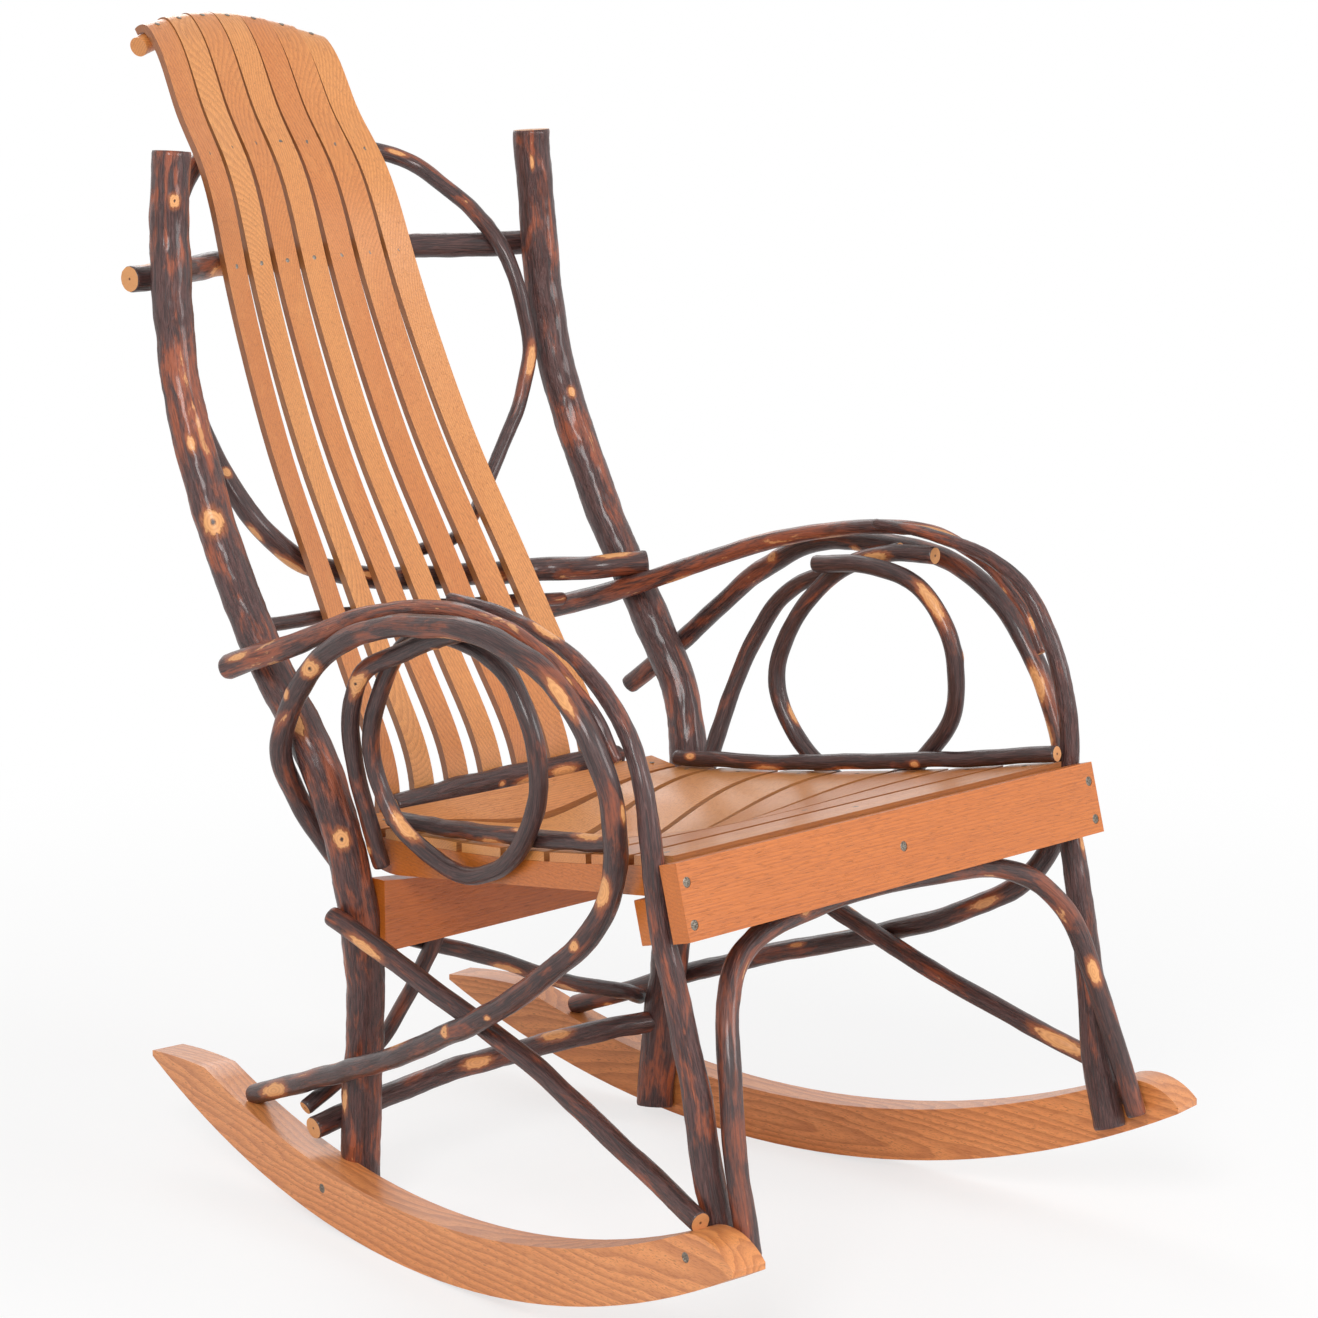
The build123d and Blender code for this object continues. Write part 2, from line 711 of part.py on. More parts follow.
def back_hoop():
    """Starts in front of the left post, passes behind the slats, the right post and the slats again,
    comes down inside the left post and ends thin behind the slats."""
    low, high = seat + 133, crest - 112
    return stick([
        (narrow + 49, back + 74, low + 3),
        (narrow + 6, back + 102, low - 1),
        (narrow - 18, back + 160, low - 6),
        (110, behind_slats(2, low, hoop_radius), low - 4),
        (40, behind_slats(1, low, hoop_radius) + 1, low),
        (-40, behind_slats(1, low, hoop_radius) + 2, low + 6),
        (-130, behind_slats(3, low + 26, hoop_radius) + 4, low + 30),
        (-182, back + 194, low + 80),
        (-198, back + 241, low + 150),
        (-195, back + 277, low + 220),
        (-182, back + 331, upper_stick_height - 4),
        (-154, back + 340, high - 68),
        (-112, behind_slats(3, high - 20, hoop_radius) - 2, high - 18),
        (-20, behind_slats(0, high, hoop_radius) + 1, high + 2),
        (90, behind_slats(1, high, hoop_radius) + 6, high - 4),
        (172, back + 366, high - 18),
        (196, back + 306, high - 57),
        (202, back + 244, high - 107),
        (207, back + 222, high - 155),
        (214, back + 212, high - 212),
        (203, back + 213, high - 264),
        (150, back + 212, high - 352),
        (90, behind_slats(2, seat + 170, hoop_tip_radius), seat + 168),
        (20, behind_slats(0, seat + 162, hoop_tip_radius), seat + 160),
    ], hoop_radius, hoop_tip_radius)


# ---------------------------------------------------------------- sticks on the seat
def seat_side_stick(side):
    """Lies on the ends of the slats; the left one reaches over the front board."""
    front_y = 100.0 if side == right else 20.0
    points = []
    for share, inset, rise in ((0, 8, 0.6), (0.32, 6.5, 1.8), (0.66, 9.5, 0.8), (1, 8, 1.6)):
        y = between(front_y, back - 20, share)
        points.append((rail_outer(y) - inset, y, seat_line(y) + side_stick_radius + rise))
    return stick(on_side(side, points), side_stick_radius)


def seat_back_stick():
    """Lies across behind the last seat slat, in front of the back slats' feet."""
    height = seat_line(back) + 10
    y = slat_front(3, height) - seat_back_stick_radius - 2.5
    return stick([
        (-narrow + 50, y, height - 3),
        (-50, y + 1, height + 1),
        (60, y + 1, height + 3),
        (narrow - 36, y, height),
    ], seat_back_stick_radius)


# ---------------------------------------------------------------- nails and screws
def pin(start, direction, radius, head_radius, length):
    """Head and shank in one, from the middle of the head's face along the direction."""
    low = (Align.CENTER, Align.CENTER, Align.MIN)
    shape = Cylinder(head_radius, nail_head_height, align=low) + Cylinder(radius, length, align=low)
    return Plane(origin=start, z_dir=direction) * shape


def nail(spot, direction, length=nail_length):
    start = Vector(*spot) - Vector(*direction).normalized() * nail_proud
    return pin(start, direction, nail_radius, nail_head_radius, length)


def screw(spot, direction):
    return pin(spot, direction, screw_radius, screw_head_radius, screw_length)


def slat_spot(number, height):
    """Middle of a back slat's front face at a height, and the way into it."""
    slope = (slat_front(number, height + 5) - slat_front(number, height - 5)) / 10
    spread = (crest_axis(number)[1] - height) * tan(radians(back_slat_fan * number))
    return (number * back_slat_pitch + spread, slat_front(number, height), height), (0, 1, -slope)


def slat_nail_rows():
    """For each back slat its nails into the crest rail, the hoop and the upper stick."""
    rows = []
    outer = (back_slat_count - 1) // 2
    for number in range(-outer, outer + 1):
        rail_y, rail_z = crest_axis(number)
        reach, turn = slat_bend(number) + back_slat_thickness, radians(118)
        crest_spot = (number * back_slat_pitch, rail_y + reach * cos(turn), rail_z + reach * sin(turn))
        hoop_height = crest - 112 - 9 * (number / outer) ** 2
        rows.append([
            nail(crest_spot, (0, -cos(turn), -sin(turn))),
            nail(*slat_spot(number, hoop_height)),
            nail(*slat_spot(number, upper_stick_height + 1.2 * number)),
        ])
    return rows


def seat_nail_rows():
    """For each seat slat a nail into either side rail and one into the centre rail."""
    rows = []
    for front_y, width in zip(seat_slat_fronts, seat_slat_widths):
        y = front_y + width / 2
        half, top = rail_outer(y) - rail_thickness + 3, seat_line(y)
        if front_y == seat_slat_fronts[-1]:
            top += rear_slat_lift / 2
        row = [nail((side * half, y, top), (0, -seat_fall, -1), length=seat_nail_length)
               for side in (right, left)]
        if y + width / 2 < rear_board_y:
            front_top, back_top = [seat_line(edge) - seat_dip(edge) for edge in (front_y, front_y + width)]
            spot, slope = (0, y, (front_top + back_top) / 2), (back_top - front_top) / width
            row.append(nail(spot, (0, slope, -1), length=seat_nail_length))
        rows.append(row)
    return rows


def board_screw_spots():
    """Two screws at either end of the front board and one in its middle."""
    spots = []
    for half, down in ((0, 0.5), (wide - 9, 0.26), (wide - 9, 0.8)):
        face = (-board_height * down * lean_down, seat - board_height * down * lean_back)
        for side in ((right, left) if half else (left,)):
            spots.append((side * half, *face))
    return spots


# ---------------------------------------------------------------- put together
pieces = {}
for side, name in ((right, "right"), (left, "left")):
    pieces["runner_" + name] = runner(side)
    pieces["back_post_" + name] = back_post(side) - pieces["runner_" + name]
    pieces["front_post_" + name] = front_post(side)
    pieces["arm_bow_" + name] = arm_bow(side)
    pieces["arm_loop_" + name] = arm_loop(side) - pieces["runner_" + name]
    pieces["side_brace_" + name] = side_brace(side) - pieces["runner_" + name]
    pieces["side_rail_" + name] = side_rail(side)
    pieces["seat_side_stick_" + name] = seat_side_stick(side)
pieces["arm_spindle_right"] = arm_spindle(right, 0, 0)
pieces["arm_spindle_left"] = arm_spindle(left, 14, 12)
pieces["arm_ring_right"] = arm_ring(right, 0, 0)
pieces["arm_ring_left"] = arm_ring(left, 54, 17)

pieces["front_board"] = leaning_board(0, seat, board_height, board_half)
pieces["front_under_rail"] = leaning_board(
    under_rail_set_back, rail_foot(under_rail_set_back + board_thickness) - touch,
    under_rail_height, under_rail_half)
pieces["rear_board"] = rear_board()
pieces["centre_rail"] = centre_rail()
for name in ("right", "left"):
    pieces["front_post_" + name] -= pieces["front_board"] + pieces["runner_" + name]
    pieces["rear_board"] -= pieces["back_post_" + name]

for number, slat in enumerate(seat_slats(), 1):
    pieces["seat_slat_" + str(number)] = slat
outer = (back_slat_count - 1) // 2
pieces["crest_rail"] = crest_rail()
for number in range(back_slat_count):
    pieces["back_slat_" + str(number + 1)] = back_slat(number - outer) - pieces["crest_rail"]

pieces["upper_back_stick"] = upper_back_stick()
pieces["lower_back_stick"] = lower_back_stick()
pieces["back_hoop"] = back_hoop()
pieces["seat_back_stick"] = seat_back_stick()
pieces["front_arch"] = front_arch()
pieces["rear_stretcher"] = rear_stretcher() - pieces["back_post_left"]
pieces["rear_brace_lower"] = rear_brace_lower()
pieces["rear_brace_upper"] = rear_brace_upper()

slat_nails = slat_nail_rows()
for number, row in enumerate(slat_nails, 1):
    pieces["back_slat_" + str(number)] -= row
    pieces["crest_rail"] -= row[0]
    pieces["back_hoop"] -= row[1]
    pieces["upper_back_stick"] -= row[2]
pieces["back_slat_nails"] = Compound(children=[one for row in slat_nails for one in row])

seat_nails = seat_nail_rows()
for number, row in enumerate(seat_nails, 1):
    pieces["seat_slat_" + str(number)] -= row
    for one in row:
        middle_x = one.center().X
        host = "centre_rail" if abs(middle_x) < 1 else "side_rail_" + ("right" if middle_x < 0 else "left")
        pieces[host] -= one
pieces["seat_slat_nails"] = Compound(children=[one for row in seat_nails for one in row])

board_screws = [screw(spot, (0, lean_back, -lean_down)) for spot in board_screw_spots()]
for name in ("front_board", "front_post_right", "front_post_left", "side_rail_right", "side_rail_left"):
    pieces[name] -= board_screws
pieces["board_screws"] = Compound(children=board_screws)

runner_screws = []
for side, name in ((right, "right"), (left, "left")):
    outward = (side * cos(runner_splay), sin(runner_splay), 0)
    inward = (-outward[0], -outward[1], 0)
    for y, post in ((post_foot_y - 4, "back_post_"), (front_foot_y + 2, "front_post_")):
        spot = (side * runner_outer(y), y, between(runner_bottom(y), runner_top(y), 0.6))
        one = screw(spot, inward)
        pieces["runner_" + name] -= one
        pieces[post + name] -= one
        runner_screws.append(one)
pieces["runner_screws"] = Compound(children=runner_screws)

front_end = pieces["runner_right"].bounding_box().min.Y
back_end = max(pieces[name].bounding_box().max.Y for name in ("back_slat_4", "runner_right"))
to_middle = Location((0, -(front_end + back_end) / 2, 0))
for name, shape in pieces.items():
    export_step(to_middle * shape, "parts/" + name + ".step")
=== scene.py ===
import bpy
import bmesh
import json
import math
import random
import numpy as np
from mathutils import Matrix, Vector, noise


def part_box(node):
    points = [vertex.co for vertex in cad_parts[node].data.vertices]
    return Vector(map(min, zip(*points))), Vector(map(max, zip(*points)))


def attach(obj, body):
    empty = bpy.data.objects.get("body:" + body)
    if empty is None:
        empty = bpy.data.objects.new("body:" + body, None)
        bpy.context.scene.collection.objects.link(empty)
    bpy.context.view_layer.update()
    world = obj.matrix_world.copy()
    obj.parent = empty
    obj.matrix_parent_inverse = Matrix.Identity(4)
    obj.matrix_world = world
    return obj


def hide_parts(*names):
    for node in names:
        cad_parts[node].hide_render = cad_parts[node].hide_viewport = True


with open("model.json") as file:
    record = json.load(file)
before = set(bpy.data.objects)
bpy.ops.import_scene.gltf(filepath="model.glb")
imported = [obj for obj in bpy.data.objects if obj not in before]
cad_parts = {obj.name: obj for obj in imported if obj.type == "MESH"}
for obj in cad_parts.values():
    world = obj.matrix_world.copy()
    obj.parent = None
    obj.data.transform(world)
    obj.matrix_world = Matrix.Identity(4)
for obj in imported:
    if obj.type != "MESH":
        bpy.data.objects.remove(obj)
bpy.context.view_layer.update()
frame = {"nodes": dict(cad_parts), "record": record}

nodes = frame["nodes"]
scene = bpy.context.scene
mm = 0.001
weld = 0.001 * mm                                         # points nearer than this are one
boardLean = 16.8 * mm                                     # the front board's foot is this far out
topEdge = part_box("front_board")[0][1] + boardLean         # its top edge in y; marks and camera go by it


# shader maths: one wrapped socket, so that materials read as plain sums
class Wire:
    def __init__(self, tree, socket=None):
        self.tree = tree
        self.socket = socket

    def make(self, kind, settings=None, sockets=None, out=0):
        node = self.tree.nodes.new(kind)
        for name, value in (settings or {}).items():     # settings first, sockets follow from them
            setattr(node, name, value)
        for name, value in (sockets or {}).items():
            if isinstance(value, Wire):
                self.tree.links.new(value.socket, node.inputs[name])
            else:
                node.inputs[name].default_value = value
        return Wire(self.tree, node.outputs[out])

    def math(self, operation, *values):
        return self.make("ShaderNodeMath", {"operation": operation}, dict(enumerate(values)))

    def __add__(self, other):
        return self.math("ADD", self, other)

    def __sub__(self, other):
        return self.math("SUBTRACT", self, other)

    def __rsub__(self, other):
        return self.math("SUBTRACT", other, self)

    def __mul__(self, other):
        return self.math("MULTIPLY", self, other)

    __radd__ = __add__
    __rmul__ = __mul__

    def sine(self):
        return self.math("SINE", self)

    def fraction(self):
        return self.math("FRACT", self)

    def unsigned(self):
        return self.math("ABSOLUTE", self)

    def larger(self, other):
        return self.math("MAXIMUM", self, other)

    def step(self, low, high):                            # 0 at low, 1 at high, eased between
        return self.make("ShaderNodeMapRange", {"interpolation_type": "SMOOTHSTEP"},
                         {"Value": self, "From Min": low, "From Max": high})

    def blend(self, first, second):                       # self is the share of the second colour
        return self.make("ShaderNodeMix", {"data_type": "RGBA"}, {0: self, 6: first, 7: second}, 2)

    def stretch(self, amounts):                           # self is a vector, here and in length
        return self.make("ShaderNodeVectorMath", {"operation": "MULTIPLY"}, {0: self, 1: amounts})

    def length(self):
        return self.make("ShaderNodeVectorMath", {"operation": "LENGTH"}, {0: self}, "Value")

    def field(self, name, out="Fac"):                     # what the mesh holds under that name
        return self.make("ShaderNodeAttribute", {"attribute_name": name}, out=out)

    def noise(self, place, scale, detail=3.0, rough=0.55, warp=0.0):
        return self.make("ShaderNodeTexNoise", {}, {
            "Vector": place, "Scale": scale, "Detail": detail, "Roughness": rough, "Distortion": warp})


def paint(red, green, blue):                              # a colour as seen on a screen, 0 to 255
    def straight(value):
        value /= 255
        return value / 12.92 if value <= 0.04045 else ((value + 0.055) / 1.055) ** 2.4
    return (straight(red), straight(green), straight(blue), 1.0)


def newMaterial(name, constants):
    material = bpy.data.materials.new(name)
    material.use_nodes = True
    tree = material.node_tree
    shader = tree.nodes["Principled BSDF"]
    for socket, value in constants.items():
        shader.inputs[socket].default_value = value
    return material, Wire(tree), shader


def plug(wire, shader, socket):
    wire.tree.links.new(wire.socket, shader.inputs[socket])


# bark; counts are per metre, and each length is the share of that count along the stick
barkLook = {
    "furrow": paint(33, 16, 16), "ridge": paint(82, 46, 42), "red": paint(154, 76, 42),
    "grey": paint(132, 100, 94), "pale": paint(230, 166, 106), "rim": paint(168, 92, 48),
    "core": paint(58, 30, 20),
    "streaks": 430.0, "streakLength": 0.055,              # ridges and furrows
    "fibres": 3.3,                                        # fibres to a ridge
    "patches": 60.0, "patchLength": 0.22,                 # where the bark is worn red or bare
    "rags": 300.0, "ragLength": 0.4,                      # what breaks up edges of patches and scars
    "scarRings": 24.0,                                    # growth rings across a scar, in radians
    "rough": 0.38, "coat": 0.42, "relief": 1.3 * mm,
}


def barkMaterial():
    look = barkLook
    material, wire, shader = newMaterial("hickoryBark", {"Coat Roughness": 0.16, "IOR": 1.5})
    grain = wire.field("grain", "Vector")
    knot, core, tone, coarse = [wire.field(name) for name in ("knot", "core", "tone", "coarse")]
    along = grain.stretch((1.0, 1.0, look["streakLength"]))
    streak = wire.noise(along, look["streaks"], 3.0, 0.55, 0.5)
    ridge = 1 - ((streak - 0.5).unsigned() * 7.0).step(0.0, 1.0)
    fibre = wire.noise(along, look["streaks"] * look["fibres"], 2.0, 0.5)
    patch = wire.noise(grain.stretch((1.0, 1.0, look["patchLength"])), look["patches"], 5.0, 0.62, 0.6)
    ragged = wire.noise(grain.stretch((1.0, 1.0, look["ragLength"])), look["rags"], 3.0, 0.6)
    height = ridge * coarse * 0.8 + fibre * (0.25 + coarse * 0.2)
    flake = (height * 0.8 + streak * 0.3).step(0.1, 0.85)
    colour = flake.blend(look["furrow"], look["ridge"])
    peel = patch + tone * 0.34 + ragged * 0.12 - 0.06
    wearAndPaintedShade = peel.step(0.60, 0.76)
    colour = (wearAndPaintedShade * (0.3 + flake * 0.7)).blend(colour, look["red"])
    colour = (peel.step(0.81, 0.86) * 0.7).blend(colour, look["pale"])
    silver = (fibre * 0.6 + ridge * 0.4).step(0.6, 0.85) * (1 - wearAndPaintedShade) * 0.2
    colour = silver.blend(colour, look["grey"])
    edge = knot + (ragged - 0.5) * 0.9
    rim = 1 - edge.step(0.95, 1.5)
    pale = 1 - edge.step(0.74, 0.96)
    growth = (knot * look["scarRings"] + ragged * 4.0).sine() * 0.5 + 0.5
    colour = (rim * 0.75).blend(colour, look["rim"])
    colour = pale.blend(colour, (growth * 0.3).blend(look["pale"], look["rim"]))
    heart = 1 - (core + (ragged - 0.5) * 0.25).step(0.14, 0.3)
    colour = heart.blend(colour, look["core"])
    plug(colour, shader, "Base Color")
    plug(look["rough"] + fibre * 0.24, shader, "Roughness")
    plug(look["coat"] - pale * 0.25, shader, "Coat Weight")
    relief = height * (1 - pale) * (1 - wearAndPaintedShade * 0.6) + heart * -0.4
    bump = wire.make("ShaderNodeBump", {},
                     {"Height": relief, "Distance": look["relief"], "Strength": 0.85})
    plug(bump, shader, "Normal")
    return material


# the sawn ends of the sticks
endLook = {
    "wood": paint(222, 160, 104), "late": paint(176, 108, 62), "pith": paint(92, 52, 32),
    "rings": 900.0, "stains": 190.0, "specks": 1900.0,    # each per metre
    "pithSize": (1.0 * mm, 2.4 * mm),
    "rough": 0.5, "relief": 0.2 * mm,
}


def endMaterial():
    look = endLook
    material, wire, shader = newMaterial("hickoryEnd", {"Coat Weight": 0.15, "IOR": 1.45})
    grain = wire.field("grain", "Vector")
    reach = grain.stretch((1.0, 1.0, 0.0)).length()
    stain = wire.noise(grain, look["stains"], 3.0, 0.6)
    speck = wire.noise(grain, look["specks"], 2.0, 0.5)
    turns = reach * look["rings"] * 2 * math.pi + stain * 5
    ring = turns.sine().step(-0.2, 1.0)
    colour = (ring * 0.45 + speck.step(0.52, 0.7) * 0.4).blend(look["wood"], look["late"])
    colour = (1 - (reach + stain * mm).step(*look["pithSize"])).blend(colour, look["pith"])
    plug(colour, shader, "Base Color")
    plug(look["rough"] + speck * 0.2, shader, "Roughness")
    bump = wire.make("ShaderNodeBump", {}, {"Height": speck + ring * 0.4, "Distance": look["relief"]})
    plug(bump, shader, "Normal")
    return material


# oak: slats, boards and runners
oakLook = {
    # edge is a painted shade colour for the slats' side faces, which lie in shade in the narrow gaps
    # between slats
    "pore": paint(112, 64, 36), "edge": paint(84, 46, 30),
    "clouds": 22.0, "fibres": 1100.0, "pores": 1500.0, "flecks": 130.0,    # each per metre
    "rough": 0.34, "coat": 0.5, "relief": 0.2 * mm,
}
oakKinds = {                                              # rings per metre, their wander and contrast
    "oak_slat": {"light": paint(228, 156, 88), "mid": paint(208, 126, 62), "dark": paint(152, 82, 40),
                 "rings": 420.0, "figure": 0.4, "contrast": 0.3},
    "oak_board": {"light": paint(208, 116, 38), "mid": paint(190, 98, 26), "dark": paint(140, 68, 18),
                  "rings": 300.0, "figure": 2.2, "contrast": 0.22},
    "oak_runner": {"light": paint(240, 166, 102), "mid": paint(224, 142, 78),
                   "dark": paint(164, 90, 44), "rings": 130.0, "figure": 4.5, "contrast": 0.5},
}


def oakMaterial(name):
    look = {**oakLook, **oakKinds[name]}
    material, wire, shader = newMaterial(name, {"Coat Roughness": 0.25, "IOR": 1.5})
    grain = wire.field("grain", "Vector")
    # the second field holds painted shade on the slats' side faces
    lot, wearAndPaintedShade = wire.field("lot"), wire.field("wearAndPaintedShade")
    cloud = wire.noise(grain.stretch((1.0, 1.0, 0.12)), look["clouds"], 3.0, 0.5, 0.4)
    reach = grain.stretch((1.0, 1.0, 0.0)).length()
    ring = (reach * look["rings"] + cloud * look["figure"]).fraction()
    late = ring.step(0.2, 0.9) * (1 - ring.step(0.92, 1.0))
    fibre = wire.noise(grain.stretch((1.0, 1.0, 0.02)), look["fibres"], 3.0, 0.6)
    pore = wire.noise(grain.stretch((1.0, 1.0, 0.05)), look["pores"], 2.0, 0.5).step(0.58, 0.68)
    fleck = wire.noise(grain.stretch((1.0, 1.0, 0.25)), look["flecks"], 3.0, 0.6).step(0.54, 0.70)
    colour = (cloud * 0.5 + lot * 0.75 - 0.1).step(0.15, 0.9).blend(look["light"], look["mid"])
    colour = (late * look["contrast"] + fibre.step(0.42, 0.72) * 0.34).blend(colour, look["dark"])
    colour = (fleck * 0.22).blend(colour, look["light"])
    colour = (pore * (1 - ring.step(0.15, 0.7)) * 0.6).blend(colour, look["pore"])
    # painted shade: the side faces of the slats are darkened toward the edge colour
    colour = (wearAndPaintedShade * 0.8).blend(colour, look["edge"])
    plug(colour, shader, "Base Color")
    plug(look["rough"] + fibre * 0.16 + pore * 0.1, shader, "Roughness")
    plug(look["coat"] - pore * 0.3, shader, "Coat Weight")
    height = fibre * 0.5 - pore * 0.8 + late * 0.2
    bump = wire.make("ShaderNodeBump", {},
                     {"Height": height, "Distance": look["relief"], "Strength": 0.8})
    plug(bump, shader, "Normal")
    return material


# plated steel of the nails and screws
steelLook = {
    "bright": paint(164, 156, 144), "dull": paint(92, 84, 76), "stain": paint(64, 44, 32),
    "clouds": 420.0, "scratches": 2600.0,                 # each per metre
    "rough": 0.3, "relief": 0.08 * mm,
}


def steelMaterial():
    look = steelLook
    material, wire, shader = newMaterial("platedSteel", {"Coat Weight": 0.1})
    grain = wire.field("grain", "Vector")
    cloud = wire.noise(grain, look["clouds"], 4.0, 0.6)
    scratch = wire.noise(grain.stretch((1.0, 0.2, 1.0)), look["scratches"], 2.0, 0.6)
    colour = (cloud * 0.6 + scratch * 0.4).step(0.35, 0.65).blend(look["dull"], look["bright"])
    stain = cloud.step(0.5, 0.66)
    colour = (stain * 0.7).blend(colour, look["stain"])
    plug(colour, shader, "Base Color")
    plug(1 - stain * 0.7, shader, "Metallic")
    plug(look["rough"] + scratch * 0.25 + stain * 0.2, shader, "Roughness")
    bump = wire.make("ShaderNodeBump", {}, {"Height": scratch + cloud, "Distance": look["relief"]})
    plug(bump, shader, "Normal")
    return material


bark = barkMaterial()
sawnEnd = endMaterial()
oaks = {name: oakMaterial(name) for name in oakKinds}
steel = steelMaterial()
print("materials ready")


# the line of each stick, read from its solid
stickEnds = {"corners": 8, "flat": 0.5, "uneven": 0.06}   # an end is flat, round and has many corners
follow = {
    "step": 4.0 * mm, "mostSteps": 2000,
    "near": 0.2, "leastPoints": 5,                        # a ring's points lie this near the radius
    "swerve": 0.3, "girthRate": 0.3,                      # of the radius, most shift in a step
    "leastRound": 3.5,                                    # radians of the round that have to be there
    "steep": 0.8,                                         # above this a heading counts as upright
    "beside": 1.3, "lastSteps": 3, "least": 0.2,          # what counts as the stick's last short piece
    "smooth": 5,                                          # points in the running mean
}


def meshArrays(node):
    mesh = nodes[node].data
    spots = np.empty(len(mesh.vertices) * 3)
    mesh.vertices.foreach_get("co", spots)
    edges = np.empty(len(mesh.edges) * 2, int)
    mesh.edges.foreach_get("vertices", edges)
    return spots.reshape(-1, 3), edges.reshape(-1, 2)


def roundEnds(node):                                      # the widest first
    work = bmesh.new()
    work.from_mesh(nodes[node].data)
    bmesh.ops.remove_doubles(work, verts=work.verts, dist=weld)
    bmesh.ops.dissolve_limit(work, angle_limit=math.radians(stickEnds["flat"]),
                             verts=work.verts, edges=work.edges)
    found = []
    for face in work.faces:
        if len(face.verts) < stickEnds["corners"]:
            continue
        corners = np.array([vert.co for vert in face.verts])
        middle = corners.mean(0)
        reach = np.linalg.norm(corners - middle, axis=1)
        if np.ptp(reach) < stickEnds["uneven"] * reach.mean():
            found.append((reach.mean(), middle, -np.array(face.normal)))
    work.free()
    return sorted(found, key=lambda end: -end[0])


def ringShift(ring, away, across, upward, radius):        # how far off the guess, and how much thicker
    side, rise = ring @ across / away, ring @ upward / away
    slopes = np.stack([side, rise, np.ones(len(side))], 1)
    shift = np.linalg.lstsq(slopes, away - radius, rcond=None)[0]
    shift = np.clip(shift, -follow["swerve"] * radius, follow["swerve"] * radius)
    if np.ptp(np.arctan2(side, rise)) < follow["leastRound"]:
        shift[:] = 0
    return shift


def followStick(node):
    spots, edges = meshArrays(node)
    radius, place, heading = roundEnds(node)[0]
    line, girth, step = [place], [radius], follow["step"]
    while len(line) < follow["mostSteps"]:
        guess = line[-1] + heading * step
        depth = (spots - guess) @ heading
        first, second = depth[edges[:, 0]], depth[edges[:, 1]]
        cut = edges[first * second < 0]                   # the edges that cross the plane of the guess
        share = (depth[cut[:, 0]] / (depth[cut[:, 0]] - depth[cut[:, 1]]))[:, None]
        ring = spots[cut[:, 0]] * (1 - share) + spots[cut[:, 1]] * share - guess
        away = np.linalg.norm(ring, axis=1)
        close = abs(away - radius) < follow["near"] * radius
        if close.sum() < follow["leastPoints"]:
            break
        across = np.cross(heading, (0, 0, 1) if abs(heading[2]) < follow["steep"] else (1, 0, 0))
        across /= np.linalg.norm(across)
        upward = np.cross(heading, across)
        shift = ringShift(ring[close], away[close], across, upward, radius)
        line.append(guess + across * shift[0] + upward * shift[1])
        girth.append(radius + shift[2])
        radius += follow["girthRate"] * shift[2]
        heading = line[-1] - line[-2]
        heading /= np.linalg.norm(heading)
    rest = lastPiece(spots - line[-1], heading, radius)
    if rest > follow["least"] * step:
        line.append(line[-1] + heading * rest)
        girth.append(girth[-1])
    return np.array(line), np.array(girth)


def lastPiece(beside, heading, radius):                   # from the last full step to the stick's end
    ahead = beside @ heading
    inside = np.linalg.norm(beside - np.outer(ahead, heading), axis=1) < follow["beside"] * radius
    return ahead[inside & (ahead < follow["lastSteps"] * follow["step"])].max()


# bark-on sticks
stickMesh = {
    "ringGap": 2.6 * mm, "facet": 2.6 * mm, "leastFacets": 16, "bevel": 0.7 * mm, "capRings": 4,
    "fade": 0.03,                                         # nearer an end than this, the stick runs true
    "wanderWaves": (0.05, 0.3), "swellWaves": (0.03, 0.22), "toneWaves": (0.05, 0.4),
    "oval": 0.03,                                         # how far from round, as a share
    "longest": 50.0,                                      # how far along the grain a stick may start
    "tiltReach": 20 * mm,
    "astray": (0.31, 0.17, 0.94),                         # a direction that no stick starts in
}
knotShape = {
    "first": (0.6, 1.3), "gap": (0.45, 1.6), "clearEnd": 0.02,
    "scarWide": (0.6, 0.9), "patchWide": (0.22, 0.45), "mostWide": 0.8,    # of length, of radius
    "scarRise": (0.3, 1.0), "patchHeight": -0.3 * mm, "markHeight": 0.8 * mm,
    "cored": 0.6, "coredWide": 0.6, "slope": 0.8, "flatTop": 0.72,
    "far": 3.0,                                           # what the fields hold away from any knot
}


def ease(values):                                         # running mean that keeps both ends
    wide = follow["smooth"]
    first, last = np.repeat(values[:1], wide, 0), np.repeat(values[-1:], wide, 0)
    padded = np.concatenate([first, values, last])
    kernel = np.ones(wide) / wide
    columns = [np.convolve(column, kernel, "same")[wide:-wide] for column in padded.T]
    soft = np.stack(columns, 1)
    soft[0], soft[-1] = values[0], values[-1]
    return soft


def framesAlong(line):                                    # two directions across the line, no twist
    runs = np.gradient(line, axis=0)
    runs /= np.linalg.norm(runs, axis=1)[:, None]
    side = np.cross(runs[0], stickMesh["astray"])
    sides = []
    for run in runs:
        side = side - run * (side @ run)
        side = side / np.linalg.norm(side)
        sides.append(side)
    sides = np.array(sides)
    return sides, np.cross(runs, sides)


def waves(rng, length, steps, shortest, longest):         # a smooth random curve about nothing
    total = np.zeros(steps)
    reach = np.linspace(0, length, steps)
    for count in range(4):
        wave = shortest * (longest / shortest) ** rng.random()
        total += np.sin(2 * math.pi * (reach / wave + rng.random())) * (wave / longest) ** 0.5
    return total / 2


